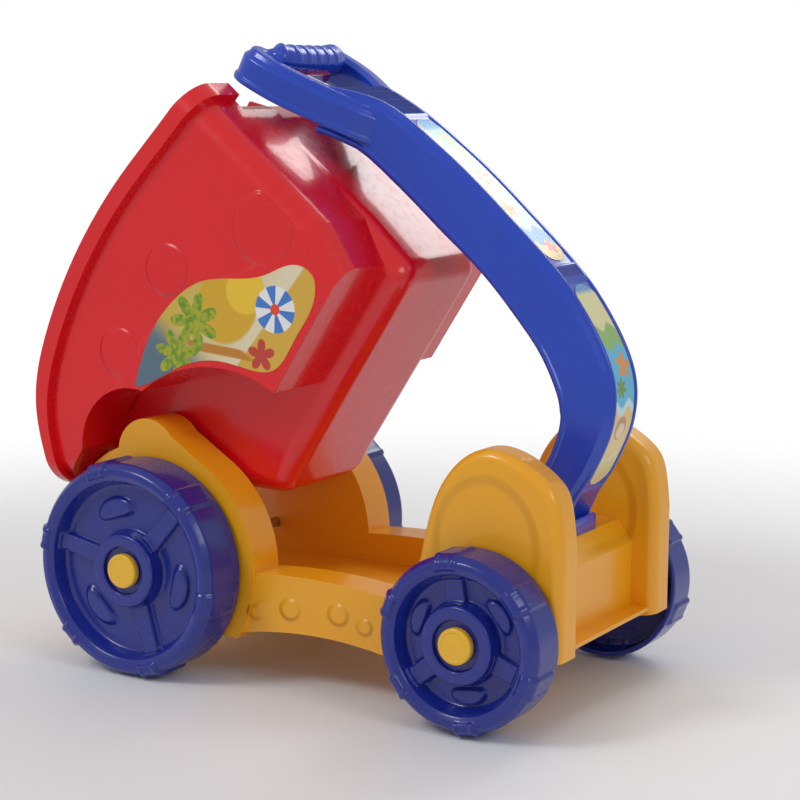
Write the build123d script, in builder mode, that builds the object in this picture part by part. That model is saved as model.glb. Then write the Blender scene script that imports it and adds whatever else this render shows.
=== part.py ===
"""Toddler push cart with a tipping tub: moulded chassis, four wheels on steel rods, hooped handle.

Frame: +X points to the front (handle foot), +Z up, the floor is Z = 0 and Y = 0 is the plane of symmetry.
The tub is drawn in its own level frame, turned about the hinge into its tipped rest position.
"""
from build123d import *
from math import atan2, cos, degrees, radians, sin, sqrt
import os

os.makedirs("parts", exist_ok=True)

# ---------------------------------------------------------------- driving dimensions (mm)
wheelbase = 283.4
rear_axle_x = -124.6
front_axle_x = rear_axle_x + wheelbase
wall = 3.0                      # general wall of the mouldings

# wheels
lug_height = 2.25
lug_length = 18.0               # along the tread
lug_count = 6
rear_wheel_radius = 81.0
rear_wheel_width = 39.6
rear_wheel_face = 137.4         # |Y| of the outer face
rear_spoke_angle = 47.5         # first spoke, from +X towards +Z
front_wheel_radius = 62.6
front_wheel_width = 35.2
front_wheel_face = 130.6
front_spoke_angle = 98.4
hub_radius = 28.0
hub_recess_radius = 18.2
tread_wall = 4.0
axle_radius = 4.0
running_clearance = 0.08        # rod in wheel bore, radial
rod_hole_clearance = 0.3        # rod through the chassis, radial
side_play = 0.6                 # wheel between chassis boss and cap
cap_radius = 13.0
cap_thickness = 6.0

# chassis
chassis_half_width = 95.0
beam_half_width = 93.0
well_half_width = 63.0          # clear gap between the inner walls
arch_radius = 91.0
ear_radius = 28.0
skirt_low = 32.0                # lowest edge of the skirts
well_floor_top = 61.0
hump_inner = 62.0
hump_outer = 92.0
front_lip_x = front_axle_x + 56.6
front_lip_half_width = 81.0
front_lip_top = 58.0
block_front_x = front_axle_x + 41.6
block_top = 122.0
block_back_x = front_axle_x - 44.0
hump_back_x = front_axle_x - 54.5

# hinge of the tub
ear_x = rear_axle_x - 7.0        # centre of the ear's rounded top
ear_z = 163.0
pivot_x = rear_axle_x - 10.0
pivot_z = 168.0
tip_angle = 57.2                # tipped back from level
pin_radius = 6.0
pin_clearance = 0.1
pin_head_radius = 10.0
pin_head_thickness = 3.0

# tub, in its own level frame
hinge_along = 2.6               # hinge in that frame, along X and Z
hinge_up = 5.2
tub_half_width = 110.0
tub_low_half_width = 57.0       # lower part that nests between the arches
tub_floor = -95.4
tub_corner = 20.0
floor_fillet = 16.0
rim_height = 13.0
rim_overhang = 6.0
ledge_z = -75.0
recess_radius = 108.0           # concentric with the rear wheel when level
ear_recess_radius = 48.0
rim_dip_radius = 266.0          # reach of the front rim from the hinge, under the hoop
rim_dip_half_width = 67.0
groove_radius = 261.5           # reach of the front wall behind the handle
groove_half_width = 28.0

# handle
arm_half_width = 23.0
grip_radius = 11.0
grip_x = rear_axle_x + 74.4
grip_z = 460.0
hoop_half_width = 62.0
hoop_band = 17.0                # width of a rail
hoop_slope = 27.0               # the hoop's plane falls away from the grip
hoop_rise = 10.0                # rail above and below the hoop's plane
hoop_skirt = 17.0
foot_bottom = 96.0
foot_length = 34.0
foot_centre_x = front_axle_x + 9.6
screw_spacing = 26.0
socket_clearance = 0.4
screw_radius = 2.0
screw_head_radius = 4.0

sticker_thickness = 0.5


def lowest_lug_height(radius, first_angle):
    """Axle height of a wheel that stands on the corner of its lowest lug, or on its tread."""
    corner = sqrt((radius + lug_height) ** 2 + (lug_length / 2) ** 2)
    half = degrees(atan2(lug_length / 2, radius + lug_height))
    off = min(abs((first_angle + k * 360 / lug_count - 270 + 180) % 360 - 180) for k in range(lug_count))
    return max(radius, corner * cos(radians(off - half)))


rear_axle_z = lowest_lug_height(rear_wheel_radius, rear_spoke_angle)
front_axle_z = lowest_lug_height(front_wheel_radius, front_spoke_angle)


def side_at(y):
    """Side view plane through y, looking along +Y."""
    return Plane(origin=(0, y, 0), x_dir=(1, 0, 0), z_dir=(0, -1, 0))


# ---------------------------------------------------------------- wheels
def make_wheel(radius, width, face, axle_x, axle_z, spoke_angle, side):
    """Hollow wheel, open towards the chassis, turned about its axle at (axle_x, axle_z)."""
    hub_plane = Plane(origin=(axle_x, side * face, axle_z), x_dir=(1, 0, 0), z_dir=(0, side, 0))
    first = spoke_angle if side < 0 else -spoke_angle
    turn = Plane(origin=hub_plane.origin, x_dir=(1, 0, 0), z_dir=(0, 0, 1))
    inward = -side
    web = 14.0                                   # depth of the dished web behind the face
    inner_r = radius - tread_wall - 9.0          # inside of the rolled rim
    with BuildPart() as wheel:
        with BuildSketch(turn):
            with BuildLine():
                Polyline(
                    (axle_radius + running_clearance, inward * 6),
                    (hub_recess_radius, inward * 6),
                    (hub_recess_radius, inward * 2.5),
                    (hub_radius, inward * 2.5),
                    (hub_radius, inward * web),
                    (inner_r - 3, inward * web),
                    (inner_r, inward * 3),
                    (inner_r + 4, 0),
                    (radius - 4, inward * 1.0),
                    (radius, inward * 6.0),
                    (radius, inward * width),
                    (radius - tread_wall, inward * width),
                    (radius - tread_wall, inward * (web + 3)),
                    (hub_recess_radius, inward * (web + 3)),
                    (axle_radius + 5, inward * (web + 6)),
                    (axle_radius + 5, inward * width),
                    (axle_radius + running_clearance, inward * width),
                    close=True,
                )
            make_face()
        revolve(axis=Axis((axle_x, 0, axle_z), (0, 1, 0)))
        lug_plane = Plane(origin=(axle_x, side * (face - 4), axle_z), x_dir=(1, 0, 0), z_dir=(0, side, 0))
        with BuildSketch(lug_plane):
            with PolarLocations(radius + lug_height / 2 - 0.5, lug_count, start_angle=first):
                Rectangle(lug_height + 1, lug_length)
        extrude(amount=-(width - 7))
        web_plane = Plane(origin=(axle_x, side * (face - web), axle_z), x_dir=(1, 0, 0), z_dir=(0, side, 0))
        with BuildSketch(web_plane):
            with PolarLocations((hub_radius + inner_r) / 2 - 1, 3, start_angle=first):
                Trapezoid(width=inner_r - hub_radius + 2, height=15, left_side_angle=84, right_side_angle=84)
            with PolarLocations((hub_radius + inner_r) / 2 - 2, 3, start_angle=first + 60):
                Ellipse((inner_r - hub_radius) * 0.2, (inner_r - hub_radius) * 0.42)
        extrude(amount=4.5)
    return wheel.part


wheel_table = {
    "wheel_rear_right": (rear_wheel_radius, rear_wheel_width, rear_wheel_face, rear_axle_x,
                         rear_axle_z, rear_spoke_angle, -1),
    "wheel_rear_left": (rear_wheel_radius, rear_wheel_width, rear_wheel_face, rear_axle_x,
                        rear_axle_z, rear_spoke_angle, 1),
    "wheel_front_right": (front_wheel_radius, front_wheel_width, front_wheel_face, front_axle_x,
                          front_axle_z, front_spoke_angle, -1),
    "wheel_front_left": (front_wheel_radius, front_wheel_width, front_wheel_face, front_axle_x,
                         front_axle_z, front_spoke_angle, 1),
}
for name, sizes in wheel_table.items():
    wheel_part = make_wheel(*sizes)
    wheel_part.label = name
    export_step(wheel_part, f"parts/{name}.step")


# ---------------------------------------------------------------- axles and their caps
def make_axle(axle_x, axle_z, face):
    """Steel rod whose ends stop inside the two caps."""
    length = 2 * (face - 6 + side_play + cap_thickness - 2)
    with BuildPart() as rod:
        with BuildSketch(side_at(length / 2)):
            with Locations((axle_x, axle_z)):
                Circle(axle_radius)
        extrude(amount=length)
        chamfer(rod.edges().filter_by(GeomType.CIRCLE), 0.6)
    return rod.part


def make_cap(axle_x, axle_z, face, side):
    """Push-on cap in the hub recess, with a blind bore for the rod."""
    back = face - 6 + side_play
    with BuildPart() as cap:
        with BuildSketch(Plane(origin=(axle_x, side * back, axle_z), x_dir=(1, 0, 0), z_dir=(0, side, 0))):
            Circle(cap_radius)
        extrude(amount=cap_thickness)
        outer_rim = cap.edges().filter_by(GeomType.CIRCLE).sort_by(Axis.Y)[-1 if side > 0 else 0]
        fillet(outer_rim, 2.0)
        with BuildSketch(Plane(origin=(axle_x, side * back, axle_z), x_dir=(1, 0, 0), z_dir=(0, side, 0))):
            Circle(axle_radius)
        extrude(amount=cap_thickness - 2, mode=Mode.SUBTRACT)
    return cap.part


for end, axle_x, axle_z, face in (("rear", rear_axle_x, rear_axle_z, rear_wheel_face),
                                  ("front", front_axle_x, front_axle_z, front_wheel_face)):
    axle = make_axle(axle_x, axle_z, face)
    axle.label = f"{end}_axle"
    export_step(axle, f"parts/{end}_axle.step")
    for hand, side in (("right", -1), ("left", 1)):
        cap = make_cap(axle_x, axle_z, face, side)
        cap.label = f"axle_cap_{end}_{hand}"
        export_step(cap, f"parts/axle_cap_{end}_{hand}.step")


# ---------------------------------------------------------------- chassis
def beam_outline(inset):
    """Side view of the beam between arch and hump, arched along its top and its lower edge."""
    x0 = rear_axle_x + 60
    x1 = front_axle_x - 47.4
    xm = (x0 + x1) / 2
    with BuildLine() as line:
        top = ThreePointArc((x0, 80 - inset), (xm, 85.5 - inset), (x1, 76 - inset))
        low = ThreePointArc((x0, skirt_low), (xm, 43), (x1, skirt_low - 2))
        Line(top @ 0, low @ 0)
        Line(top @ 1, low @ 1)
    return line.line


def hump_outline(inset):
    """Side view of the tall rounded ear over a front wheel."""
    x0 = hump_back_x + inset
    x1 = front_axle_x + 61 - inset
    with BuildLine() as line:
        back = Line((x0, skirt_low), (x0, 108))
        crown = Spline(back @ 1, (front_axle_x - 34 + inset, 171), (front_axle_x, 195.5 - inset),
                       (front_axle_x + 46 - inset, 178), (x1, 132), tangents=((0.25, 1), (0.1, -1)))
        nose = Line(crown @ 1, (x1, skirt_low + 20))
        Line(nose @ 1, back @ 0)
    return line.line


def arch_outline(inset):
    """Side view of the rear arch: a fender about the axle with the hinge ear on its crown."""
    r = arch_radius - inset
    low = sqrt(r ** 2 - (rear_axle_z - skirt_low) ** 2)
    with BuildSketch() as face:
        with Locations((rear_axle_x, rear_axle_z)):
            Circle(r)
        with Locations((ear_x, ear_z)):
            Circle(ear_radius - inset)
        with BuildLine():
            Polyline((ear_x + (ear_radius - inset) * 0.8, ear_z + (ear_radius - inset) * 0.6),
                     (rear_axle_x + r * 0.5, rear_axle_z + r * 0.866),
                     (rear_axle_x, rear_axle_z + r * 0.5),
                     (ear_x - (ear_radius - inset), ear_z - 20),
                     (ear_x - (ear_radius - inset), ear_z), close=True)
        make_face()
        with Locations((rear_axle_x, skirt_low - 60)):
            Rectangle(3 * low, 120, mode=Mode.SUBTRACT)
    return face.sketch


def make_side_body(outline, inner_y, outer_y, side, edge_radius):
    """One side moulding: its outline extruded from inner_y to outer_y, with the crown edges rounded."""
    start = max(side * inner_y, side * outer_y)
    with BuildPart() as body:
        with BuildSketch(side_at(start)):
            if isinstance(outline, Sketch):
                add(outline)
            else:
                make_face(outline)
        extrude(amount=outer_y - inner_y)
        if edge_radius > 0:
            low = skirt_low + 25
            rim = [e for e in body.edges() if abs(e.center().Y - side * outer_y) < 0.01
                   or abs(e.center().Y - side * inner_y) < 0.01]
            rim = [e for e in rim if e.bounding_box().min.Z > low or e.geom_type == GeomType.BSPLINE]
            fillet(rim, edge_radius)
    return body.part


side_bodies = []
side_hollows = []
for side in (-1, 1):
    side_bodies.append(make_side_body(beam_outline(0), well_half_width, beam_half_width, side, 0))
    side_bodies.append(make_side_body(arch_outline(0), well_half_width, chassis_half_width, side, 0))
    side_bodies.append(make_side_body(hump_outline(0), hump_inner, hump_outer, side, 8))
    side_hollows.append(make_side_body(beam_outline(wall), well_half_width + wall,
                                       beam_half_width - wall, side, 0))
    side_hollows.append(make_side_body(arch_outline(wall), well_half_width + wall,
                                       chassis_half_width - wall, side, 0))
    side_hollows.append(make_side_body(hump_outline(wall), hump_inner + wall, hump_outer - wall, side, 5))

with BuildPart() as chassis:
    for body in side_bodies:
        add(body)
    # block between the humps, which carries the handle socket, and the front lip
    with BuildSketch(side_at(hump_inner)):
        with BuildLine():
            Polyline((block_back_x, skirt_low + 20), (block_back_x, 96), (block_back_x + 14, block_top),
                     (block_front_x - 12, block_top), (block_front_x, block_top - 16),
                     (block_front_x, skirt_low + 20), close=True)
        make_face()
    extrude(amount=2 * hump_inner)
    with BuildSketch(Plane.XY.offset(front_lip_top - wall)):
        with Locations(((front_lip_x + block_front_x - 20) / 2, 0)):
            Rectangle(front_lip_x - block_front_x + 20, 2 * front_lip_half_width)
    extrude(amount=wall)
    # floor of the well
    floor_rear = rear_axle_x - 62
    with BuildSketch(Plane.XY.offset(well_floor_top - wall)):
        with Locations(((floor_rear + block_back_x + 4) / 2, 0)):
            Rectangle(block_back_x + 4 - floor_rear, 2 * well_half_width + 2)
    extrude(amount=wall)
    # hollow the sides and the block from below
    for hollow in side_hollows:
        add(hollow, mode=Mode.SUBTRACT)
    with BuildSketch(side_at(hump_inner)):
        with BuildLine():
            Polyline((block_back_x + wall, skirt_low + 10), (block_back_x + wall, 96),
                     (block_back_x + 16, block_top - wall), (block_front_x - 14, block_top - wall),
                     (block_front_x - wall, block_top - 18), (block_front_x - wall, skirt_low + 10),
                     close=True)
        make_face()
    extrude(amount=2 * hump_inner, mode=Mode.SUBTRACT)
    # pocket for the handle foot
    with BuildSketch(Plane.XY.offset(foot_bottom - wall)):
        with Locations((foot_centre_x, 0)):
            Rectangle(foot_length + 2 * (wall + socket_clearance),
                      2 * (arm_half_width + wall + socket_clearance))
    extrude(amount=block_top - foot_bottom + wall)
    with BuildSketch(Plane.XY.offset(foot_bottom)):
        with Locations((foot_centre_x, 0)):
            Rectangle(foot_length + 2 * socket_clearance, 2 * (arm_half_width + socket_clearance))
    extrude(amount=block_top - foot_bottom + 1, mode=Mode.SUBTRACT)
    with BuildSketch(Plane.XY.offset(foot_bottom - wall)):
        with Locations((foot_centre_x, 0)):
            with GridLocations(0, screw_spacing, 1, 2):
                Circle(screw_radius + rod_hole_clearance)
    extrude(amount=wall + 1, mode=Mode.SUBTRACT)
    # tubes that carry the rods and keep the wheels off the sides
    for axle_x, axle_z, hub_end in ((rear_axle_x, rear_axle_z, rear_wheel_face - rear_wheel_width),
                                    (front_axle_x, front_axle_z, front_wheel_face - front_wheel_width)):
        for side in (-1, 1):
            with BuildSketch(side_at(max(side * well_half_width, side * (hub_end - side_play)))):
                with Locations((axle_x, axle_z)):
                    Circle(axle_radius + 5)
            extrude(amount=hub_end - side_play - well_half_width)
    # rod holes through both sides, and seats for the hinge pins in the inner walls
    for axle_x, axle_z in ((rear_axle_x, rear_axle_z), (front_axle_x, front_axle_z)):
        with BuildSketch(side_at(chassis_half_width + 5)):
            with Locations((axle_x, axle_z)):
                Circle(axle_radius + rod_hole_clearance)
        extrude(amount=2 * chassis_half_width + 10, mode=Mode.SUBTRACT)
    with BuildSketch(side_at(well_half_width + wall + 1)):
        with Locations((pivot_x, pivot_z)):
            Circle(pin_radius + pin_clearance)
    extrude(amount=2 * (well_half_width + wall + 1), mode=Mode.SUBTRACT)
chassis.part.label = "chassis"
export_step(chassis.part, "parts/chassis.step")


# ---------------------------------------------------------------- tub
deck = Plane(origin=(pivot_x - hinge_along * cos(radians(tip_angle)) + hinge_up * sin(radians(tip_angle)), 0,
                     pivot_z - hinge_along * sin(radians(tip_angle)) - hinge_up * cos(radians(tip_angle))),
             x_dir=(cos(radians(tip_angle)), 0, sin(radians(tip_angle))),
             z_dir=(-sin(radians(tip_angle)), 0, cos(radians(tip_angle))))
deck_side = Plane(origin=deck.origin, x_dir=deck.x_dir, z_dir=(0, -1, 0))

# level outline of the walls: (height, rear end, front end)
low_stations = ((tub_floor, 28.0, 236.0), (-40.0, -6.0, 246.0), (125.0, -108.0, 261.5))
wide_stations = ((tub_floor, 28.0, 220.0), (-40.0, -6.0, 243.5), (125.0, -108.0, 263.5))


def station_at(stations, height):
    """Rear and front end of the walls at a height above the bend."""
    bend, top = stations[1], stations[2]
    share = (height - bend[0]) / (top[0] - bend[0])
    return height, bend[1] + share * (top[1] - bend[1]), bend[2] + share * (top[2] - bend[2])


def tub_walls(stations, half_width, grow, corner, top, raise_floor, bottom_fillet):
    """Drafted open-top box between the floor and a height, grown outwards by a distance."""
    with BuildPart() as box:
        for height, rear, front in (stations[0], stations[1], station_at(stations, top)):
            z = height + raise_floor if height == tub_floor else height
            with BuildSketch(deck.offset(z)):
                with Locations(((rear + front) / 2, 0)):
                    RectangleRounded(front - rear + 2 * grow, 2 * (half_width + grow), corner + grow)
        loft(ruled=True)
        if bottom_fillet > 0:
            bottom = box.faces().sort_by(Axis(deck.origin, deck.z_dir))[0]
            fillet(bottom.edges(), bottom_fillet)
    return box.part


def rim_outline(raise_by, low):
    """Side view of everything under the arched rim, down to a level."""
    with BuildSketch() as face:
        with BuildLine():
            crown = Spline((-80, 26 + raise_by), (-54, 62 + raise_by), (-18, 97 + raise_by),
                           (36, 116 + raise_by), (106, 123 + raise_by), (173, 118 + raise_by),
                           (235, 106 + raise_by), (280, 100 + raise_by))
            Polyline(crown @ 1, ((crown @ 1).X, low), ((crown @ 0).X, low), crown @ 0)
        make_face()
    return face.sketch


def wide_outline(raise_by, inset):
    """Side view of the wide upper part, with the recess over the rear arch and hinge ear."""
    with BuildSketch() as face:
        add(rim_outline(raise_by, ledge_z + inset))
        with Locations((hinge_along + rear_axle_x - pivot_x, hinge_up + rear_axle_z - pivot_z)):
            Circle(recess_radius + inset, mode=Mode.SUBTRACT)
        with Locations((hinge_along, hinge_up)):
            Circle(ear_recess_radius + inset, mode=Mode.SUBTRACT)
        with Locations((-100, 44 + inset)):
            Rectangle(100, 200, align=(Align.MIN, Align.MAX), mode=Mode.SUBTRACT)
    return face.sketch


def in_side_view(sketch, half_width):
    """Bar of a side-view sketch in the tub's frame, as wide as twice half_width."""
    with BuildPart() as bar:
        with BuildSketch(deck_side):
            add(sketch)
        extrude(amount=half_width, both=True)
    return bar.part


def tub_body(inset, raise_by):
    """Whole tub volume, inset from the outer surface and raised above the rim."""
    with BuildPart() as body:
        add(tub_walls(wide_stations, tub_half_width, -inset, tub_corner, 125 + 2 * raise_by, inset, 0))
        add(in_side_view(wide_outline(raise_by, inset), 150), mode=Mode.INTERSECT)
        add(tub_walls(low_stations, tub_low_half_width, -inset, tub_corner, 52, inset, floor_fillet - inset))
    return body.part


with BuildSketch() as band_view:
    add(rim_outline(0, ledge_z))
    add(rim_outline(-rim_height, ledge_z - 1), mode=Mode.SUBTRACT)
    with Locations((-100, 44)):
        Rectangle(100, 200, align=(Align.MIN, Align.MAX), mode=Mode.SUBTRACT)
with BuildSketch() as dip_view:
    Circle(340)
    with Locations((hinge_along, hinge_up)):
        Circle(rim_dip_radius, mode=Mode.SUBTRACT)
    Rectangle(700, 700, align=(Align.CENTER, Align.MAX), mode=Mode.SUBTRACT)
    Rectangle(400, 700, align=(Align.MAX, Align.CENTER), mode=Mode.SUBTRACT)
with BuildSketch() as lining_view:
    with BuildLine():
        z_low, z_high = 20.0, 100.0
        Polyline((200, z_low), (station_at(wide_stations, z_low)[2] - 0.5, z_low),
                 (station_at(wide_stations, z_high)[2] - 0.5, z_high), (200, z_high), close=True)
    make_face()
    with Locations((hinge_along, hinge_up)):
        Circle(groove_radius - wall, mode=Mode.SUBTRACT)
with BuildSketch() as groove_view:
    Circle(340)
    with Locations((hinge_along, hinge_up)):
        Circle(groove_radius, mode=Mode.SUBTRACT)
    Rectangle(700, 700, align=(Align.CENTER, Align.MAX), mode=Mode.SUBTRACT)
    Rectangle(400, 700, align=(Align.MAX, Align.CENTER), mode=Mode.SUBTRACT)

tub_outside = tub_body(0, 0)
rim_band = in_side_view(band_view.sketch, 150)
rim_block = tub_walls(wide_stations, tub_half_width, rim_overhang, tub_corner, 140, 0, 0)
tub_inside = tub_body(wall, 40)
rim_dip = in_side_view(dip_view.sketch, rim_dip_half_width)
groove_lining = in_side_view(lining_view.sketch, groove_half_width + wall)
groove = in_side_view(groove_view.sketch, groove_half_width)

with BuildPart() as tub:
    add(rim_block)
    add(rim_band, mode=Mode.INTERSECT)
    add(tub_outside)
    add(tub_inside, mode=Mode.SUBTRACT)
    add(groove_lining)
    add(rim_dip, mode=Mode.SUBTRACT)
    add(groove, mode=Mode.SUBTRACT)
    with BuildSketch(side_at(tub_low_half_width + 4)):
        with Locations((pivot_x, pivot_z)):
            Circle(pin_radius)
    extrude(amount=2 * (tub_low_half_width + 4), mode=Mode.SUBTRACT)
tub.part.label = "tub"
export_step(tub.part, "parts/tub.step")

# hinge pins, pushed in from inside the tub
for hand, side in (("right", -1), ("left", 1)):
    inner_face = side * (tub_low_half_width - wall)
    with BuildPart() as pin:
        with BuildSketch(Plane(origin=(pivot_x, inner_face, pivot_z), x_dir=(1, 0, 0), z_dir=(0, side, 0))):
            Circle(pin_radius)
        extrude(amount=well_half_width + wall - tub_low_half_width + wall)
        with BuildSketch(Plane(origin=(pivot_x, inner_face, pivot_z), x_dir=(1, 0, 0), z_dir=(0, -side, 0))):
            Circle(pin_head_radius)
        extrude(amount=pin_head_thickness)
    pin.part.label = f"hinge_pin_{hand}"
    export_step(pin.part, f"parts/hinge_pin_{hand}.step")


# ---------------------------------------------------------------- handle
# lip of the channel about the ear's centre: (reach, angle above level)
lip_points = ((301, 1.5), (318, 8.5), (313, 16.0), (301, 22.8), (289, 30.7), (277.5, 39.2), (273, 48.3),
              (273, 57.3), (273.5, 65.0))
# outer face: (x from the front axle, z, share of an inset taken along x)
outer_points = ((-183, 446, 0.3), (-129, 430, 0.4), (-77, 396, 0.6), (-27, 354, 0.7), (31, 297, 0.85),
                (61.5, 243, 1.0), (62.5, 208, 1.0), (35, 151, 0.9))
foot_front = foot_centre_x + foot_length / 2
foot_rear = foot_centre_x - foot_length / 2


def handle_outline(inset, lip_drop, sole_height):
    """Side view of the post: outer face, lips that follow the tub's sweep, and the foot."""
    outer_line = [(front_axle_x + x - inset * share, z - inset * (1 - share)) for x, z, share in outer_points]
    lip_line = [(ear_x + (reach - lip_drop) * cos(radians(turn)),
                 ear_z + (reach - lip_drop) * sin(radians(turn))) for reach, turn in lip_points]
    with BuildSketch() as face:
        with BuildLine():
            outer = Spline(*outer_line)
            toe = Line(outer @ 1, (foot_front - inset, 134))
            sole = Line(toe @ 1, (foot_front - inset, sole_height))
            heel = Line(sole @ 1, (foot_rear + inset, sole_height))
            back = Line(heel @ 1, (foot_rear + inset, 142))
            calf = Line(back @ 1, lip_line[0])
            lip = Spline(*lip_line)
            Line(lip @ 1, outer @ 0)
        make_face()
    return face.sketch


hoop_plane = Plane(origin=(grip_x, 0, grip_z - 7),
                   x_dir=(cos(radians(hoop_slope)), 0, -sin(radians(hoop_slope))),
                   z_dir=(sin(radians(hoop_slope)), 0, cos(radians(hoop_slope))))
with BuildPart() as arm:
    with BuildSketch(side_at(arm_half_width)):
        add(handle_outline(0, 0, foot_bottom))
    extrude(amount=2 * arm_half_width)
    with BuildSketch(side_at(arm_half_width - wall)):
        add(handle_outline(wall, 8, 110))
    extrude(amount=2 * (arm_half_width - wall), mode=Mode.SUBTRACT)
    # hoop: two rails from the post to the grip, round an opening for the fingers
    with BuildSketch(hoop_plane.offset(-hoop_skirt)):
        for half in (-1, 1):
            with BuildLine():
                Polyline((-6, 0), (-6, half * 30), (-14, half * 40), (-22, half * (hoop_half_width - 14)),
                         (-22, half * (hoop_half_width - 6)), (-14, half * hoop_half_width),
                         (21, half * hoop_half_width), (44, half * (hoop_half_width - 12)),
                         (70, half * (arm_half_width + 12)), (88, half * arm_half_width),
                         (100, half * arm_half_width), (100, 0), close=True)
            make_face()
    extrude(amount=hoop_skirt + hoop_rise)
    with BuildSketch(hoop_plane):
        for half in (-1, 1):
            with BuildLine():
                Polyline((-30, 0), (-30, half * 36), (-10, half * 36), (0, half * (hoop_half_width - hoop_band)),
                         (17, half * (hoop_half_width - 20)), (41, half * (hoop_half_width - 29)),
                         (47, half * (hoop_half_width - 35)), (49, half * (hoop_half_width - 42)), (49, 0),
                         close=True)
            make_face()
    extrude(amount=40, both=True, mode=Mode.SUBTRACT)
    # grip bar with finger ridges
    with BuildSketch(side_at(hoop_half_width - 8)):
        with Locations((grip_x, grip_z)):
            Circle(grip_radius)
    extrude(amount=2 * (hoop_half_width - 8))
    for place in range(-3, 4):
        with BuildSketch(side_at(place * 12 + 2.5)):
            with Locations((grip_x, grip_z)):
                Circle(grip_radius + 0.8)
        extrude(amount=5)
    # keep the underside clear of the tub's rim
    with BuildSketch(side_at(100)):
        with Locations((pivot_x, pivot_z)):
            Circle(rim_dip_radius + 3)
            with Locations((0, -100)):
                Rectangle(700, 400, mode=Mode.SUBTRACT)
    extrude(amount=200, mode=Mode.SUBTRACT)
    # pilot holes for the two screws in the sole
    with BuildSketch(Plane.XY.offset(foot_bottom - 1)):
        with Locations((foot_centre_x, 0)):
            with GridLocations(0, screw_spacing, 1, 2):
                Circle(screw_radius)
    extrude(amount=14, mode=Mode.SUBTRACT)
arm.part.label = "handle"
export_step(arm.part, "parts/handle.step")

with BuildPart() as screws:
    with BuildSketch(Plane.XY.offset(foot_bottom - wall)):
        with Locations((foot_centre_x, 0)):
            with GridLocations(0, screw_spacing, 1, 2):
                Circle(screw_radius)
    extrude(amount=12)
    with BuildSketch(Plane.XY.offset(foot_bottom - wall)):
        with Locations((foot_centre_x, 0)):
            with GridLocations(0, screw_spacing, 1, 2):
                Circle(screw_head_radius)
    extrude(amount=-2.5)
screws.part.label = "handle_screws"
export_step(screws.part, "parts/handle_screws.step")

# ---------------------------------------------------------------- stickers
for name, low, high, lowest in (("handle_sticker_upper", front_axle_x - 133, front_axle_x + 2, 300),
                                ("handle_sticker_lower", front_axle_x + 34, front_axle_x + 90, 152)):
    with BuildPart() as label:
        with BuildSketch(side_at(15)):
            add(handle_outline(-sticker_thickness, 0, foot_bottom))
            add(handle_outline(0, 0, foot_bottom), mode=Mode.SUBTRACT)
            with Locations((low, 0)):
                Rectangle(600, 1200, align=(Align.MAX, Align.CENTER), mode=Mode.SUBTRACT)
            with Locations((high, 0)):
                Rectangle(600, 1200, align=(Align.MIN, Align.CENTER), mode=Mode.SUBTRACT)
            with Locations((0, lowest)):
                Rectangle(1200, 600, align=(Align.CENTER, Align.MAX), mode=Mode.SUBTRACT)
            with Locations((ear_x, ear_z)):
                Circle(300, mode=Mode.SUBTRACT)
        extrude(amount=30)
    label.part.label = name
    export_step(label.part, f"parts/{name}.step")

for hand, side in (("right", -1), ("left", 1)):
    with BuildPart() as label:
        face_y = side * tub_half_width
        with BuildSketch(Plane(origin=(deck.origin.X, face_y, deck.origin.Z), x_dir=deck.x_dir,
                               z_dir=(0, -1, 0))):
            with BuildLine():
                Spline((50, 29), (69, 34), (95, 37), (119, 34), (150, 20), (188, -24), (210, -43), (211, -57),
                       (198, -67), (165, -69), (134, -66), (119, -42), (106, -17), (86, 2), (62, 16),
                       periodic=True)
            make_face()
        extrude(amount=-side * sticker_thickness)
    label.part.label = f"tub_sticker_{hand}"
    export_step(label.part, f"parts/tub_sticker_{hand}.step")
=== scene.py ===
"""Toddler push cart with a tipping tub: what is seen of each piece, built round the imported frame."""
from math import cos, radians, sin

import bpy
import numpy as np
from mathutils import Matrix, Vector


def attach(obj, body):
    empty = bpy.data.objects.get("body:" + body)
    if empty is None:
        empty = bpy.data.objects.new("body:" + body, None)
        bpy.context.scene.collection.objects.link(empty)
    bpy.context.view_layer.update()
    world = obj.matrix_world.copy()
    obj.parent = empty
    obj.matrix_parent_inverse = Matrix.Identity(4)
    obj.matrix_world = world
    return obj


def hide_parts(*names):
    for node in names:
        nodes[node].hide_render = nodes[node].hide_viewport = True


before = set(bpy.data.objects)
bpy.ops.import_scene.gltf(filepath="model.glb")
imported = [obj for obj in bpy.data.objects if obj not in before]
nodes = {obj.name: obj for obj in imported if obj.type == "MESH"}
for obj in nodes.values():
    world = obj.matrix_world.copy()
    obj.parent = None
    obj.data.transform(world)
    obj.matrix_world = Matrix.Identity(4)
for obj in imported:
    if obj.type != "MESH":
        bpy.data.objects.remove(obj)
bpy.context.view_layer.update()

# Sizes shared by several pieces, in mm, in the part's frame.
REAR_X, FRONT_X = -124.6, 158.8            # axles
REAR_Z, FRONT_Z = 82.103, 65.469
REAR_FACE, FRONT_FACE = 137.4, 130.6       # |y| of the wheels' outer faces
EAR = np.array([-131.6, 163.0])            # x, z of the ear's centre
TUB_X, TUB_Z = -131.64, 163.0              # origin of the tub's own level frame
TILT = radians(57.2)                       # the tub's tip at rest

# ---------------------------------------------------------------- wheels
# Hollow blow-moulded wheels: a rolled rim, six lugs that wrap from the rim's face over the tread,
# and a dished disc with three tapered spokes and three almond bosses round the hub ring.


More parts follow.
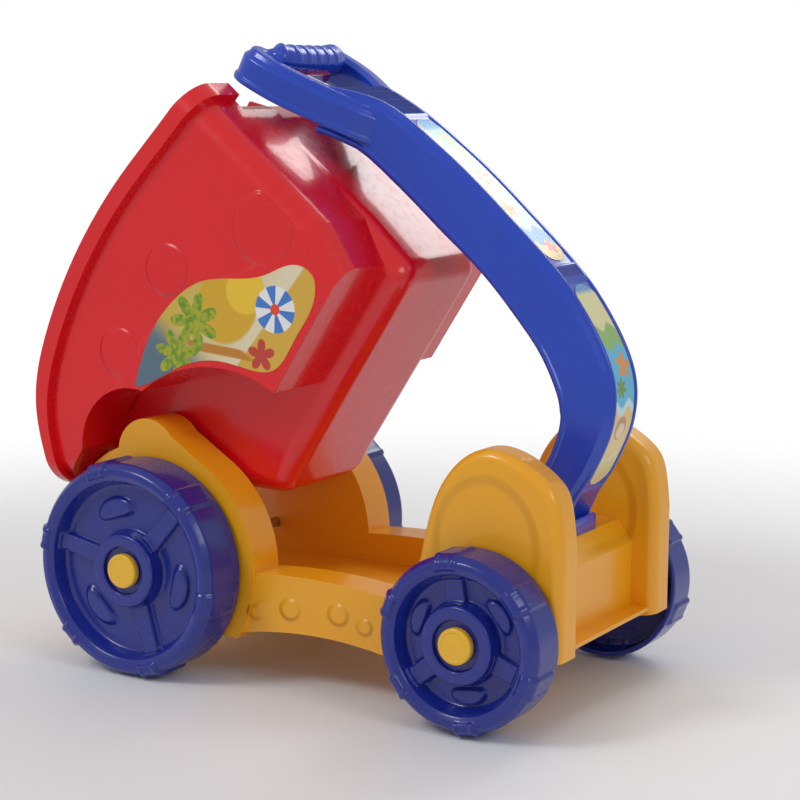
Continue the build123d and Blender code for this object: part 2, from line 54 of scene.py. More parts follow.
class Sock:
    """A shader value of the material being made, with arithmetic, so that a pattern reads as its formula."""
    tree = None

    def __init__(self, value):
        self.value = value

    @staticmethod
    def node(kind, *inputs, out=0, **settings):
        """A new node of a kind with its inputs given in order, by name or by position."""
        made = Sock.tree.nodes.new("ShaderNode" + kind)
        for key, value in settings.items():
            if hasattr(made, key):
                setattr(made, key, value)
        pairs = [(i, v) for i, v in enumerate(inputs)]
        pairs += [(k.replace("_", " ").title(), v) for k, v in settings.items() if not hasattr(made, k)]
        for key, value in pairs:
            if value is None:
                continue
            if isinstance(value, Sock):
                Sock.tree.links.new(value.value, made.inputs[key])
            else:
                made.inputs[key].default_value = value
        return Sock(made.outputs[out])

    def math(self, operation, *others):
        return Sock.node("Math", self, *others, operation=operation)

    def __add__(self, other):
        return self.math("ADD", other)

    def __sub__(self, other):
        return self.math("SUBTRACT", other)

    def __mul__(self, other):
        return self.math("MULTIPLY", other)

    def __truediv__(self, other):
        return self.math("DIVIDE", other)

    def __neg__(self):
        return self.math("MULTIPLY", -1.0)

    def hypot(self, other):
        return (self * self + other * other).math("SQRT")

    def step(self, low, high):
        """0 below low, 1 above high, smooth between; low may be the larger."""
        return Sock.node("MapRange", self, low, high, 0.0, 1.0, interpolation_type="SMOOTHSTEP", clamp=True)

    def mix(self, first, second):
        """first where this is 0, second where it is 1 (colours)."""
        made = Sock.tree.nodes.new("ShaderNodeMix")
        made.data_type = "RGBA"
        for key, value in ((0, self), (6, first), (7, second)):
            if isinstance(value, Sock):
                Sock.tree.links.new(value.value, made.inputs[key])
            else:
                made.inputs[key].default_value = (*value, 1.0)
        return Sock(made.outputs[2])


def place():
    """Object coordinates in mm as three sockets."""
    at = Sock.tree.nodes.new("ShaderNodeTexCoord")
    parts = Sock.tree.nodes.new("ShaderNodeSeparateXYZ")
    Sock.tree.links.new(at.outputs["Object"], parts.inputs[0])
    return [Sock(parts.outputs[i]) * 1000.0 for i in range(3)]


def grain(scale, detail=2.0):
    """Noise about 0.5 over the object's own coordinates."""
    at = Sock.tree.nodes.new("ShaderNodeTexCoord")
    return Sock.node("TexNoise", Vector=Sock(at.outputs["Object"]), Scale=scale, Detail=detail)


def finish_material(mat, colour, rough, height, coat, bump):
    """Principled plastic of a colour, with roughness and height (mm) that vary over it."""
    shader = Sock.tree.nodes["Principled BSDF"]
    links = Sock.tree.links
    links.new(colour.value, shader.inputs["Base Color"])
    links.new(rough.value, shader.inputs["Roughness"])
    dent = Sock.node("Bump", Height=height, Distance=0.001, Strength=bump)
    links.new(dent.value, shader.inputs["Normal"])
    shader.inputs["Coat Weight"].default_value = coat
    shader.inputs["Coat Roughness"].default_value = 0.06
    shader.inputs["IOR"].default_value = 1.5
    return mat


def begin_material(name):
    mat = bpy.data.materials.new(name)
    mat.use_nodes = True
    Sock.tree = mat.node_tree
    return mat


def plastic(name, tone, deep, rough=0.28, coat=0.4, relief=None, bump=0.35):
    """Moulded plastic: a tone that drifts slightly towards deep, fine orange peel, an optional relief."""
    mat = begin_material(name)
    drift = grain(9.0).step(0.3, 0.75)
    colour = (drift * 0.35).mix(tone, deep)
    wear = grain(160.0, 4.0).step(0.35, 0.7) * 0.07 + rough
    height = grain(26.0, 1.0) * 0.22 + grain(900.0, 2.0) * 0.012
    if relief is not None:
        height = height + relief(*place())
    return finish_material(mat, colour, wear, height, coat, bump)


def surface(name, grid, wrap_u, wrap_v, mat, flip=False, uv=None):
    """Smooth quad mesh over grid[u, v] of points in mm; wrapped directions close on themselves."""
    nu, nv = grid.shape[:2]
    mesh = bpy.data.meshes.new(name)
    u = np.arange(nu if wrap_u else nu - 1)
    v = np.arange(nv if wrap_v else nv - 1)
    a, b = np.meshgrid(u, v, indexing="ij")
    a2, b2 = (a + 1) % nu, (b + 1) % nv
    quads = np.stack([a * nv + b, a2 * nv + b, a2 * nv + b2, a * nv + b2], -1).reshape(-1, 4)
    if flip:
        quads = quads[:, ::-1]
    mesh.vertices.add(nu * nv)
    mesh.vertices.foreach_set("co", (grid.reshape(-1, 3) / 1000.0).astype(np.float32).ravel())
    mesh.loops.add(quads.size)
    mesh.loops.foreach_set("vertex_index", quads.ravel().astype(np.int32))
    mesh.polygons.add(len(quads))
    mesh.polygons.foreach_set("loop_start", np.arange(0, quads.size, 4, dtype=np.int32))
    mesh.polygons.foreach_set("loop_total", np.full(len(quads), 4, dtype=np.int32))
    mesh.update(calc_edges=True)
    mesh.polygons.foreach_set("use_smooth", np.ones(len(quads), dtype=bool))
    if uv is not None:
        layer = mesh.uv_layers.new(name="art")
        layer.data.foreach_set("uv", uv.reshape(-1, 2)[quads.ravel()].astype(np.float32).ravel())
    mesh.validate()
    made = bpy.data.objects.new(name, mesh)
    bpy.context.scene.collection.objects.link(made)
    mesh.materials.append(mat)
    return made


def rounded(points, radii, closed=True, per=7):
    """Path through points with each corner turned on its own radius."""
    points = np.asarray(points, float)
    count = len(points)
    out = []
    for i in range(count):
        if not closed and i in (0, count - 1):
            out.append(points[i])
            continue
        before, here, after = points[i - 1], points[i], points[(i + 1) % count]
        a, b = before - here, after - here
        la, lb = np.linalg.norm(a), np.linalg.norm(b)
        a, b = a / la, b / lb
        half = np.arccos(np.clip(a @ b, -1, 1)) / 2
        if radii[i] <= 0:
            out.append(here)
            continue
        reach = min(radii[i] / np.tan(half), la * 0.49, lb * 0.49)
        for s in np.linspace(0, 1, per):
            ends = (1 - s) ** 2 * (here + a * reach) + s ** 2 * (here + b * reach)
            out.append(ends + 2 * s * (1 - s) * here)
    return np.array(out)


def dense(path, closed, step):
    """Path with points added so that none are further apart than step."""
    out = []
    last = len(path) if closed else len(path) - 1
    for i in range(last):
        a, b = path[i], path[(i + 1) % len(path)]
        count = max(1, int(np.ceil(np.linalg.norm(b - a) / step)))
        out += [a + (b - a) * s / count for s in range(count)]
    if not closed:
        out.append(path[-1])
    return np.array(out)


def band(value, low, high, soft):
    """1 inside low..high, falling to 0 over soft outside it."""
    rise = np.clip((value - low) / soft + 1, 0, 1)
    fall = np.clip((high - value) / soft + 1, 0, 1)
    both = np.minimum(rise, fall)
    return both * both * (3 - 2 * both)


def turned(values):
    """Angles wrapped to -pi..pi."""
    return (values + np.pi) % (2 * np.pi) - np.pi


wheel_plastic = plastic("wheel_blue", (0.010, 0.022, 0.270), (0.006, 0.014, 0.190), rough=0.25, coat=0.35)
WEB = 14.0                                 # depth of the disc behind the face
RIM = 13.0                                 # tread and rolled rim, across
LUGS, SPOKES = 6, 3
for name, radius, width, face, axle_x, axle_z, first, side in (
        ("wheel_rear_right", 81.0, 39.6, REAR_FACE, REAR_X, REAR_Z, 47.5, -1),
        ("wheel_rear_left", 81.0, 39.6, REAR_FACE, REAR_X, REAR_Z, 47.5, 1),
        ("wheel_front_right", 62.6, 35.2, FRONT_FACE, FRONT_X, FRONT_Z, 98.4, -1),
        ("wheel_front_left", 62.6, 35.2, FRONT_FACE, FRONT_X, FRONT_Z, 98.4, 1)):
    inner = radius - RIM
    # section of the wheel as (radius, depth behind the face), turned about the axle
    section = rounded(
        [(4.2, 6), (18.2, 6), (18.2, 1.6), (27.5, 1.6), (29.5, WEB), (inner - 4, WEB), (inner, 2.2),
         (inner + 4.5, -0.2), (radius - 4, 0.6), (radius, 6), (radius, width - 1), (radius - 1, width),
         (radius - 4, width), (radius - 4, WEB + 4), (18.2, WEB + 3), (9, WEB + 6), (9, width), (4.2, width)],
        [0, 1.5, 1.6, 2.2, 3.0, 3.5, 3.0, 3.5, 4.0, 5.0, 1.0, 0.8, 1.0, 2.0, 2.0, 2.0, 0.5, 0.5])
    section = dense(section, True, 2.2)
    # twice as many points across the disc, where the bosses need them
    disc = (section[:, 0] > 29) & (section[:, 0] < inner - 3) & (section[:, 1] <= WEB + 0.01)
    finer = [np.vstack([here, (here + after) / 2]) if fine else here[None] for here, after, fine in
             zip(section, np.roll(section, -1, 0), disc)]
    section = np.vstack(finer)
    along = np.roll(section, -1, 0) - np.roll(section, 1, 0)
    along /= np.linalg.norm(along, axis=1)[:, None]
    outward = np.stack([along[:, 1], -along[:, 0]], 1)        # away from the material, in the section
    r, d = section[:, 0], section[:, 1]
    turn = np.linspace(0, 2 * np.pi, 400, endpoint=False)[:, None]
    start = radians(first)
    # lugs wrap from the rim's face over the shoulder and across the tread
    wraps = band(r, inner + 5.5, 999, 2.5) * band(d, -5, width - 6.5, 2.0)
    near = turned(LUGS * (turn - start)) / LUGS * radius
    lug = band(near, -8.2, 8.2, 1.6) * 2.2 - band(near, -4.4, 4.4, 1.6) * 0.7
    swell = lug * wraps
    # spokes and bosses stand on the dished disc
    on_disc = band(r, 24, inner - 3.5, 4.0) * band(d, WEB - 5, WEB + 1, 1.0)
    arm_turn = turned(SPOKES * (turn - start)) / SPOKES
    across = np.abs(r * np.sin(arm_turn))
    spoke = band(across, -1, 6.8 - 0.03 * (r - 28), 1.8) * 4.6
    boss_turn = turned(SPOKES * (turn - start - np.pi / SPOKES)) / SPOKES
    middle = (28 + inner) / 2 - 1
    tangent = boss_turn * r / (0.24 * radius)
    boss = band(np.hypot(tangent, (r - middle) / (0.105 * radius)), -1, 0.72, 0.32) * 3.6
    rise = np.maximum(spoke, boss) * on_disc
    rr = r + swell * outward[:, 0]
    dd = d + swell * outward[:, 1] - rise
    grid = np.stack([axle_x + rr * np.cos(turn), side * (face - dd), axle_z + rr * np.sin(turn)], -1)
    wheel = surface(name + "_moulding", grid, True, True, wheel_plastic, flip=side < 0)
    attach(wheel, name)
    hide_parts(name)

# ---------------------------------------------------------------- axle caps
# Yellow push-on caps in the hub recesses, slightly domed, with a rounded rim and a shallow ring.
cap_plastic = plastic("cap_yellow", (0.90, 0.52, 0.02), (0.80, 0.42, 0.015), rough=0.3)
for end, face, axle_x, axle_z in (("rear", REAR_FACE, REAR_X, REAR_Z),
                                  ("front", FRONT_FACE, FRONT_X, FRONT_Z)):
    for hand, side in (("right", -1), ("left", 1)):
        back = face - 5.4
        section = [(4.0, 4), (4.0, 0), (13, 0), (13, 5.6), (10.4, 6.2), (9.6, 5.7), (0.01, 6.3), (0.01, 4)]
        section = rounded(section, [0, 0, 0.6, 1.6, 0.6, 0.6, 0, 0])
        section = dense(section, True, 1.2)
        turn = np.linspace(0, 2 * np.pi, 96, endpoint=False)[:, None]
        grid = np.stack([axle_x + section[:, 0] * np.cos(turn), side * (back + section[:, 1]) + 0 * turn,
                         axle_z + section[:, 0] * np.sin(turn)], -1)
        name = f"axle_cap_{end}_{hand}"
        cap = surface(name + "_moulding", grid, True, True, cap_plastic, flip=side > 0)
        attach(cap, "chassis")
        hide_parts(name)

# ---------------------------------------------------------------- chassis
# One yellow moulding: rear arches with the hinge ears, arched side beams, tall front ears and the
# block that takes the handle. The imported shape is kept, with its edges rounded.


def soften(node, width, angle=25.0, segments=3):
    """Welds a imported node's doubled vertices and rounds its sharp edges."""
    weld = node.modifiers.new("weld", "WELD")
    weld.merge_threshold = 1e-5
    flat = node.modifiers.new("flat", "DECIMATE")
    flat.decimate_type = "DISSOLVE"
    flat.angle_limit = radians(0.4)
    bevel = node.modifiers.new("round", "BEVEL")
    bevel.width = width / 1000.0
    bevel.segments = segments
    bevel.limit_method = "ANGLE"
    bevel.angle_limit = radians(angle)
    bevel.harden_normals = False
    bevel.use_clamp_overlap = True
    node.modifiers.new("normals", "WEIGHTED_NORMAL").keep_sharp = True
    node.data.polygons.foreach_set("use_smooth", np.ones(len(node.data.polygons), dtype=bool))


def paint(node, mat):
    """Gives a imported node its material."""
    node.data.materials.clear()
    node.data.materials.append(mat)


def chassis_relief(x, y, z):
    """Domes pressed out of the beams' outer faces, and the dished sides of the front ears, in mm."""
    height = None
    for dome_x, dome_z, size in ((-2.4, 60.0, 8.5), (39.9, 62.0, 8.5), (-32.5, 54.0, 6.5), (62.5, 56.0, 6.5)):
        dome = (x - dome_x).hypot((z - dome_z) * 1.1).step(size + 2.0, size - 2.5) * 2.2
        height = dome if height is None else height + dome
    ear = ((x - 161.0) / 44.0).hypot((z - 128.0) / 52.0).step(1.0, 0.80) * -2.4
    return height * y.math("ABSOLUTE").step(91.0, 92.4) + ear * (z - 60.0).step(0.0, 20.0)


chassis_plastic = plastic("chassis_yellow", (0.93, 0.42, 0.008), (0.88, 0.35, 0.005), rough=0.3, coat=0.3,
                          relief=chassis_relief, bump=1.0)
soften(nodes["chassis"], 2.6, segments=5)
paint(nodes["chassis"], chassis_plastic)

# ---------------------------------------------------------------- rods and screws
# Drawn steel rods under the cart and the two screws in the handle's foot, with fine drawing marks.
mat = begin_material("steel")
x, y, z = place()
drawn = Sock.node("CombineXYZ", x * 0.02, y * 1.6, z * 0.02)
scratch = Sock.node("TexNoise", Vector=drawn, Scale=1.0, Detail=3.0)
steel = finish_material(mat, scratch.mix((0.55, 0.56, 0.58), (0.42, 0.43, 0.45)), scratch * 0.2 + 0.25,
                        scratch * 0.03, 0.0, 0.3)
Sock.tree.nodes["Principled BSDF"].inputs["Metallic"].default_value = 1.0
for name in ("rear_axle", "front_axle", "handle_screws"):
    paint(nodes[name], steel)

# ---------------------------------------------------------------- tub
# One red moulding with an overhanging rim, a wide top and a narrow bottom that nests between the
# sides. Its panels carry a raised border round the sticker with three round lobes above it.


def in_tub(x, z):
    """Along the tub's floor and up from it, from x and z in mm."""
    dx, dz = x - TUB_X, z - TUB_Z
    return dx * cos(TILT) + dz * sin(TILT), dz * cos(TILT) - dx * sin(TILT)


def tub_relief(x, y, z):
    """Lobes and a ridge over the sticker's upper edge, on the side panels only."""
    u, v = in_tub(x, z)
    lobes = None
    for at_u, at_v, size in ((214, -4, 25.0), (139, 50, 18.0), (60, 54, 17.0)):
        away = (u - at_u).hypot(v - at_v)
        ring = away.step(size + 2.5, size - 1.0) * 1.5
        lobes = ring if lobes is None else lobes.math("MAXIMUM", ring)
    crest = v - (u - 40.0) * (u - 40.0) * -0.0026 - 42.0
    border = crest.step(4.5, -1.0) * u.step(30, 45) * u.step(215, 200) * 1.5
    return lobes.math("MAXIMUM", border) * y.math("ABSOLUTE").step(108.6, 109.6)


tub_plastic = plastic("tub_red", (0.80, 0.0035, 0.010), (0.68, 0.002, 0.006), rough=0.22, coat=0.45,
                      relief=tub_relief, bump=0.9)
soften(nodes["tub"], 3.0, segments=5)
paint(nodes["tub"], tub_plastic)
for hand in ("right", "left"):
    paint(nodes[f"hinge_pin_{hand}"], tub_plastic)

# ---------------------------------------------------------------- tub stickers
# Printed film: a beach at sunset with two palms, a striped ball and a starfish.


def blob(u, v, at_u, at_v, size_u, size_v, soft=0.06):
    """1 inside an ellipse."""
    return ((u - at_u) / size_u).hypot((v - at_v) / size_v).step(1.0 + soft, 1.0 - soft)


def fronds(u, v, at_u, at_v, size, count, phase):
    """1 inside a crown of leaves or arms round a centre."""
    du, dv = u - at_u, v - at_v
    lobe = (dv.math("ARCTAN2", du) * count + phase).math("SINE").math("ABSOLUTE")
    return (du.hypot(dv) - (lobe * 0.6 + 0.4) * size).step(0.5, -0.5)


GORES = 6 / (2 * np.pi)                    # stripes of a ball, per radian
mat = begin_material("beach_print")
x, y, z = place()
u, v = in_tub(x, z)
sky = v.step(-60, 40).mix((0.80, 0.72, 0.52), (0.62, 0.44, 0.05))
sky = u.step(112, 88).mix(sky, (0.10, 0.17, 0.23))
art = blob(u, v, 150, -8, 30, 26).mix(sky, (0.70, 0.40, 0.02))
art = blob(u, v, 168, -16, 17, 17).mix(art, (0.85, 0.55, 0.03))
art = (v + 30.0 + u * 0.15).step(2, -2).mix(art, (0.62, 0.55, 0.42))
art = (v + 42.0 + (u - 150.0) * 0.1).step(1, -1).mix(art, (0.70, 0.42, 0.05))
trunk = (v - (u - 105.0) * -1.9 - 4.0).math("ABSOLUTE").step(9.0, 6.0) * u.step(102, 106) * u.step(132, 128)
art = trunk.mix(art, (0.55, 0.22, 0.02))
leaf = grain(260.0, 2.0).step(0.35, 0.65).mix((0.13, 0.30, 0.015), (0.42, 0.42, 0.02))
art = fronds(u, v, 122, 9, 22, 3.5, 0.4).mix(art, leaf)
art = fronds(u, v, 92, 9, 20, 3.5, 1.1).mix(art, leaf)
spin = (v + 44.0).math("ARCTAN2", u - 172.0) * GORES
gore = (spin + 12.0).math("FRACT").step(0.48, 0.52).mix((0.85, 0.85, 0.83), (0.05, 0.20, 0.62))
art = blob(u, v, 172, -44, 17, 17, 0.03).mix(art, gore)
art = blob(u, v, 172, -44, 4, 4, 0.1).mix(art, (0.80, 0.06, 0.02))
art = fronds(u, v, 137, -52, 12, 2.5, 0.2).mix(art, (0.55, 0.05, 0.03))
art = ((u - 197.0) * 0.5 + (v + 62.0) * -0.9 - 6.0).step(-1, 1).mix(art, (0.10, 0.30, 0.02))
film = finish_material(mat, art, grain(200.0) * 0.08 + 0.26, grain(500.0) * 0.02, 0.35, 0.3)
for hand in ("right", "left"):
    paint(nodes[f"tub_sticker_{hand}"], film)

# ---------------------------------------------------------------- handle
# Curved channel with rounded shoulders, recessed panels for the stickers and an outward lip,
# widening at its top into the hoop's rails; the grip bar carries finger ridges.


def natural(points, count):
    """Smooth curve through points, evenly spaced, by a Catmull-Rom spline on chord length."""
    points = np.asarray(points, float)
    ends = np.vstack([2 * points[0] - points[1], points, 2 * points[-1] - points[-2]])
    gap = np.linalg.norm(np.diff(ends, axis=0), axis=1) ** 0.5
    knots = np.concatenate([[0], np.cumsum(gap)])
    out = []
    for i in range(1, len(ends) - 2):
        p, k = ends[i - 1:i + 3], knots[i - 1:i + 3]
        for t in np.linspace(k[1], k[2], 60, endpoint=False):
            a = [(k[j + 1] - t) / (k[j + 1] - k[j]) * p[j] + (t - k[j]) / (k[j + 1] - k[j]) * p[j + 1]
                 for j in range(3)]
            b = [(k[j + 2] - t) / (k[j + 2] - k[j]) * a[j] + (t - k[j]) / (k[j + 2] - k[j]) * a[j + 1]
                 for j in range(2)]
            out.append((k[2] - t) / (k[2] - k[1]) * b[0] + (t - k[1]) / (k[2] - k[1]) * b[1])
    out.append(points[-1])
    out = np.array(out)
    run = np.concatenate([[0], np.cumsum(np.linalg.norm(np.diff(out, axis=0), axis=1))])
    even = np.linspace(0, run[-1], count)
    return np.stack([np.interp(even, run, out[:, k]) for k in range(out.shape[1])], 1)


handle_plastic = plastic("handle_blue", (0.008, 0.060, 0.560), (0.005, 0.040, 0.430), rough=0.2, coat=0.5)
outer = natural([(-24, 445.5), (30, 430), (82, 396), (132, 354), (190, 297), (220.3, 243), (221.3, 208),
                 (207, 172), (193.8, 151), (186, 134)], 300)
run = np.concatenate([[0], np.cumsum(np.linalg.norm(np.diff(outer, axis=0), axis=1))])
keep = outer[:, 0] > -3
outer, run = outer[keep], run[keep]
lip = [EAR + reach * np.array([cos(radians(a)), sin(radians(a))]) for reach, a in (
    (273.5, 72), (273.5, 65), (273, 57.3), (273, 48.3), (277.5, 39.2), (289, 30.7), (301, 22.8), (313, 16),
    (318, 8.5), (301, 1.5))] + [np.array((151.4, 142.0)), np.array((151.4, 118.0))]
lip = natural(lip, 900)
tangent = np.gradient(outer, axis=0)
tangent /= np.linalg.norm(tangent, axis=1)[:, None]
inward = np.stack([tangent[:, 1], -tangent[:, 0]], 1)
depth = []
for spot, way in zip(outer, inward):
    rel = lip - spot
    off = np.abs(rel[:, 0] * way[1] - rel[:, 1] * way[0]) + 1000 * (rel @ way < 0)
    depth.append(rel[int(np.argmin(off))] @ way)
depth = np.convolve(np.pad(depth, 8, mode="edge"), np.ones(17) / 17, "valid")
half = np.interp(outer[:, 0], [-6, 0, 12, 28, 40], [47, 42, 33.5, 25, 23])
half = np.where(outer[:, 1] < 300, 23.0, half)
upper = band(run, run[0] + 58, run[0] + 214, 3.0)
lower = band(run, run[0] + 232, run[0] + 396, 3.0)
panel = np.maximum(upper, lower)
rows = []
for spot, way, deep, wide, sunk in zip(outer, inward, depth, half, panel):
    turns = [0.6, 0.8, 1.2, 2.4, 1.6, 2.0, 1.0, 0.7]
    side = [(wide + 1.6, deep), (wide + 1.6, deep - 3.2), (wide, deep - 4.6), (wide, 6.6), (wide - 3.2, 3.0),
            (wide - 4.4, 0), (wide - 7.2, 0.2), (wide - 8.0, 0.2 + 1.2 * sunk)]
    top = rounded(side + [(-y, t) for y, t in side[::-1]], turns + turns[::-1], closed=False, per=6)
    under = [(-(wide - 3), deep), (-(wide - 3), 3.2), (wide - 3, 3.2), (wide - 3, deep)]
    under = rounded(under, [0, 3, 3, 0], closed=False, per=6)
    loop = np.vstack([top, under])
    rows.append(np.stack([spot[0] + way[0] * loop[:, 1], loop[:, 0], spot[1] + way[1] * loop[:, 1]], 1))
arm = surface("handle_post", np.array(rows), False, True, handle_plastic)

# ---------------------------------------------------------------- handle stickers
# Films in the post's two panels, with rounded ends, printed with sky, sea, sand and beach things.


def strip(name, first, last, wide, nose, mat):
    """Film along the post's outer face from first to last (mm of run), as wide as twice wide."""
    across = 15
    at = np.linspace(first, last, 120)
    rows, places = [], []
    for s in at:
        gap = min(s - first, last - s)
        narrow = np.sqrt(max(1 - ((nose - gap) / nose) ** 2, 0.0)) if gap < nose else 1.0
        reach = np.linspace(-1, 1, across) * max(wide * narrow, 0.05)
        spot = np.array([np.interp(s, run - run[0], outer[:, k]) for k in (0, 1)])
        way = np.array([np.interp(s, run - run[0], inward[:, k]) for k in (0, 1)])
        line = spot + way * 1.05
        rows.append(np.stack([np.full(across, line[0]), reach, np.full(across, line[1])], 1))
        places.append(np.stack([np.full(across, (s - first) / (last - first)), reach / wide * 0.5 + 0.5], 1))
    return surface(name, np.array(rows), False, False, mat, flip=True, uv=np.array(places))


def print_place(length, width):
    """The film's own coordinates in mm: along it and across it."""
    at = Sock.tree.nodes.new("ShaderNodeUVMap")
    at.uv_map = "art"
    parts = Sock.tree.nodes.new("ShaderNodeSeparateXYZ")
    Sock.tree.links.new(at.outputs[0], parts.inputs[0])
    return Sock(parts.outputs[0]) * length, (Sock(parts.outputs[1]) - 0.5) * width


mat = begin_material("shore_print")
u, v = print_place(152.0, 29.0)
wave = (v * 0.35).math("SINE") * 2.5 + u
art = u.step(0, 80).mix((0.10, 0.46, 0.85), (0.50, 0.80, 0.88))
art = (v + 9.0 + (u * 0.12).math("SINE") * 2.0).step(1, -1).mix(art, (0.80, 0.66, 0.28))
art = fronds(u, v, 24, 6, 12, 3.5, 0.5).mix(art, (0.28, 0.42, 0.06))
art = fronds(u, v, 40, 8, 9, 3.5, 1.2).mix(art, (0.38, 0.50, 0.10))
art = blob(u, v, 66, -1, 11, 10).mix(art, (0.88, 0.86, 0.78))
gore = (v.math("ARCTAN2", u - 66.0) * GORES + 12.0).math("FRACT").step(0.46, 0.54)
art = (blob(u, v, 66, 0, 9, 9) * gore).mix(art, (0.80, 0.18, 0.05))
art = blob(u, v, 96, 3, 8, 5).mix(art, (0.92, 0.92, 0.90))
art = fronds(u, v, 100, -6, 8, 2.5, 0.3).mix(art, (0.85, 0.36, 0.03))
art = wave.step(118, 121).mix(art, (0.04, 0.32, 0.70))
art = wave.step(133, 136).mix(art, (0.84, 0.62, 0.20))
art = fronds(u, v, 138, 4, 7, 2.5, 1.0).mix(art, (0.80, 0.10, 0.08))
shore = finish_material(mat, art, grain(200.0) * 0.08 + 0.22, grain(500.0) * 0.02, 0.4, 0.3)
mat = begin_material("dune_print")
u, v = print_place(160.0, 29.0)
wave = (v * 0.3).math("SINE") * 3.0 + u
art = u.step(4, 10).mix((0.10, 0.30, 0.62), (0.80, 0.76, 0.40))
art = wave.step(34, 38).mix(art, (0.30, 0.52, 0.16))
art = wave.step(50, 54).mix(art, (0.12, 0.52, 0.78))
art = wave.step(92, 95).mix(art, (0.62, 0.84, 0.90))
art = wave.step(98, 101).mix(art, (0.82, 0.60, 0.22))
art = wave.step(132, 136).mix(art, (0.74, 0.76, 0.42))
art = fronds(u, v, 66, 3, 10, 2.5, 0.6).mix(art, (0.78, 0.32, 0.06))
art = blob(u, v, 112, -2, 9, 9).mix(art, (0.55, 0.28, 0.14))
art = blob(u, v, 114, -1, 6, 6).mix(art, (0.86, 0.64, 0.36))
art = fronds(u, v, 82, -6, 8, 3.5, 0.2).mix(art, (0.16, 0.34, 0.08))
dune = finish_material(mat, art, grain(200.0) * 0.08 + 0.22, grain(500.0) * 0.02, 0.4, 0.3)
for name, first_mm, last_mm, print_mat in (("handle_sticker_upper", 60, 212, shore),
                                           ("handle_sticker_lower", 234, 394, dune)):
    film_piece = strip(name + "_film", first_mm, last_mm, 14.3, 11.0, print_mat)
    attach(film_piece, "chassis")
    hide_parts(name)

# ---------------------------------------------------------------- hoop and foot
# The hoop is one swept tube from the post's top out along a rail, across the grip and back.
slope = radians(27.0)
hoop_x, hoop_z = REAR_X + 74.4, 453.0
half_path = [(104, -9), (88, -13.5), (70, -26.5), (44, -41.5), (30, -48.5), (16, -53), (2, -54.5),
             (-8.5, -53.5), (-13, -49), (-11, -43), (-5.5, -37.5), (-1.5, -30), (0, -14), (0, 12)]
half_path = natural(half_path, 340)
half_path = half_path[half_path[:, 1] <= 0]
path = np.vstack([half_path, half_path[::-1][1:] * (1, -1)])
way = np.gradient(path, axis=0)
way /= np.linalg.norm(way, axis=1)[:, None]
out_way = np.stack([-way[:, 1], way[:, 0]], 1)
rail = [(9.8, -16.5), (9.8, -13), (8.4, -11.5), (8.4, 2.6), (5.6, 5.8), (4.2, 9.8), (-4.6, 9.8),
        (-8.0, 6.2), (-8.0, -13), (-5.0, -16.5)]
rail = rounded(rail, [1.0, 0.8, 1.5, 2.4, 1.6, 2.6, 3.4, 3.0, 2.0, 2.0], per=7)
spin = np.linspace(-0.75, 2 * np.pi - 0.75, len(rail), endpoint=False)
rows = []
for spot, side_way in zip(path, out_way):
    y = abs(spot[1])
    grip = float(np.clip((46.0 - y) / 12.0, 0, 1)) if spot[0] < 12 else 0.0
    grip = grip * grip * (3 - 2 * grip)
    ridge = 0.9 * max(0.0, cos(2 * np.pi * spot[1] / 12.0)) ** 0.7 * (y < 41) * (np.cos(spin - 1.5) > -0.35)
    size = 10.9 + ridge
    bar = np.stack([size * np.cos(spin), size * np.sin(spin) + 6.2], 1)
    ring = rail * (1 - grip) + bar * grip
    x = hoop_x + (spot[0] + side_way[0] * ring[:, 0]) * cos(slope) + ring[:, 1] * sin(slope)
    z = hoop_z - (spot[0] + side_way[0] * ring[:, 0]) * sin(slope) + ring[:, 1] * cos(slope)
    rows.append(np.stack([x, spot[1] + side_way[1] * ring[:, 0], z], 1))
hoop = surface("handle_hoop", np.array(rows), False, True, handle_plastic, flip=True)


# the foot: a collar round the post above the chassis block, and the tongue that sits in its socket
def rounded_box(name, low, high, radius, mat):
    """Block between two corners with its vertical edges and its top rounded."""
    low, high = np.array(low, float), np.array(high, float)
    middle, reach = (low[:2] + high[:2]) / 2, (high[:2] - low[:2]) / 2
    rows = []
    for z, inset in [(low[2], 0)] + [(high[2] - radius + radius * sin(a), radius * (1 - cos(a)))
                                     for a in np.linspace(0, np.pi / 2, 6)]:
        r = np.maximum(reach - inset, 0.5)
        corners = [(-r[0], -r[1]), (r[0], -r[1]), (r[0], r[1]), (-r[0], r[1])]
        ring = rounded(corners, [radius + 1.5] * 4, per=8)
        rows.append(np.column_stack([middle[0] + ring[:, 0], middle[1] + ring[:, 1], np.full(len(ring), z)]))
    rows.append(rows[-1] * (0, 0, 1) + np.append(middle, 0))
    rows.insert(0, rows[0] * (0, 0, 1) + np.append(middle, 0))
    return surface(name, np.array(rows), False, True, mat)


collar = rounded_box("handle_collar", (149.4, -25.0, 122.3), (189.6, 25.0, 134.5), 2.2, handle_plastic)
foot = rounded_box("handle_foot", (152.0, -22.8, 96.1), (185.2, 22.8, 126.0), 1.2, handle_plastic)
for piece in (arm, hoop, collar, foot):
    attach(piece, "chassis")
    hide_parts("handle")

# ---------------------------------------------------------------- floor, light and camera
# A pale floor that fades into a white room, three soft lamps, and the photograph's viewpoint.
bpy.ops.mesh.primitive_plane_add(size=12)
floor = bpy.context.object
floor.name = "floor"
mat = begin_material("floor_paper")
FADE_END, FADE_START = 1100.0, 420.0       # mm from the part's middle
tone = grain(3.0).mix((0.92, 0.92, 0.93), (0.90, 0.90, 0.91))
finish_material(mat, tone, grain(40.0) * 0.1 + 0.5, grain(300.0) * 0.02, 0.0, 0.1)
x, y, z = place()
fade = x.hypot(y).step(FADE_END, FADE_START)
mat.node_tree.links.new(fade.value, mat.node_tree.nodes["Principled BSDF"].inputs["Alpha"])
floor.data.materials.append(mat)

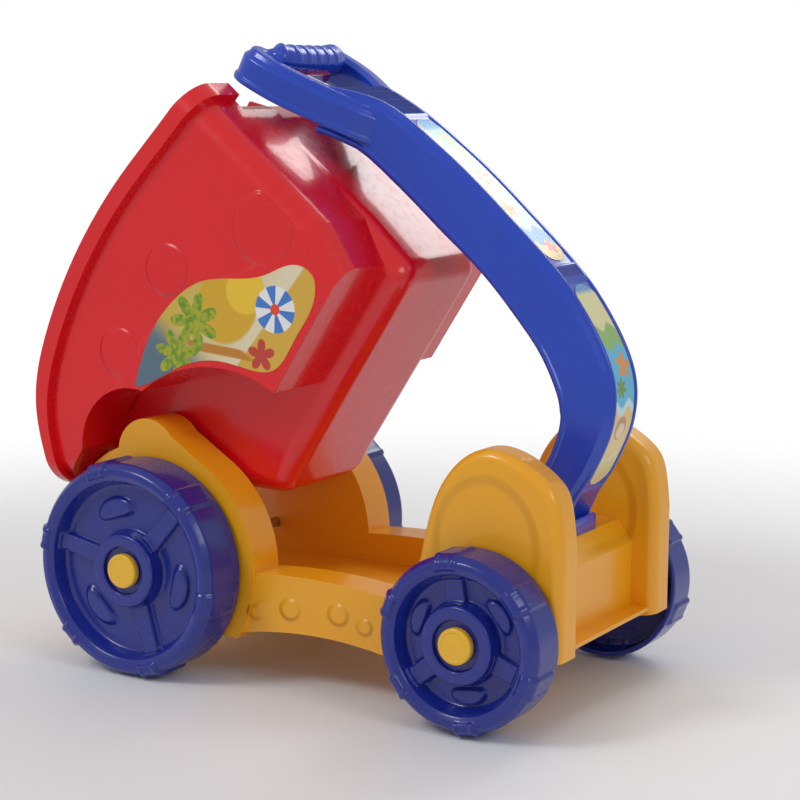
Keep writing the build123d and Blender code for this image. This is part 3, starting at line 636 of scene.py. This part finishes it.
bpy.context.scene.view_settings.view_transform = "Standard"
world = bpy.data.worlds.new("studio")
bpy.context.scene.world = world
world.use_nodes = True
# white behind the object for the camera, and a dimmer white that lights it
lit = world.node_tree.nodes["Background"]
lit.inputs["Color"].default_value = (1, 1, 1, 1)
lit.inputs["Strength"].default_value = 0.5
seen = world.node_tree.nodes.new("ShaderNodeBackground")
seen.inputs["Color"].default_value = (1, 1, 1, 1)
seen.inputs["Strength"].default_value = 1.0
ray = world.node_tree.nodes.new("ShaderNodeLightPath")
choice = world.node_tree.nodes.new("ShaderNodeMixShader")
links = world.node_tree.links
links.new(ray.outputs["Is Camera Ray"], choice.inputs[0])
links.new(lit.outputs[0], choice.inputs[1])
links.new(seen.outputs[0], choice.inputs[2])
links.new(choice.outputs[0], world.node_tree.nodes["World Output"].inputs["Surface"])


def lamp(name, spot, target, size, power):
    """Soft square light at a place, facing a target."""
    light = bpy.data.lights.new(name, "AREA")
    light.size = size
    light.energy = power
    made = bpy.data.objects.new(name, light)
    made.location = spot
    made.rotation_euler = (Vector(target) - Vector(spot)).to_track_quat("-Z", "Y").to_euler()
    bpy.context.scene.collection.objects.link(made)


lamp("key", (-0.9, -1.5, 1.9), (0, 0, 0.2), 0.7, 15)
lamp("fill", (1.9, -0.7, 1.3), (0, 0, 0.2), 0.8, 6)
lamp("back", (0.2, 1.8, 1.8), (0, 0, 0.2), 1.0, 12)

turn, lift, roll = radians(30.60), radians(9.70), radians(0.35)
back = Vector((sin(turn) * cos(lift), -cos(turn) * cos(lift), sin(lift)))
right = Vector((0, 0, 1)).cross(back).normalized()
up = back.cross(right)
right2 = right * cos(roll) + up * sin(roll)
up2 = up * cos(roll) - right * sin(roll)
camera_data = bpy.data.cameras.new("camera")
camera_data.sensor_width = 36.0
camera_data.lens = 90.41
camera_data.shift_x = -0.0470
camera_data.shift_y = 0.0236
camera = bpy.data.objects.new("camera", camera_data)
camera.matrix_world = Matrix.Translation(((944.74 - 124.6) / 1000, -1.27208, 0.44827)) @ Matrix(
    (right2, up2, back)).transposed().to_4x4()
bpy.context.scene.collection.objects.link(camera)
bpy.context.scene.camera = camera
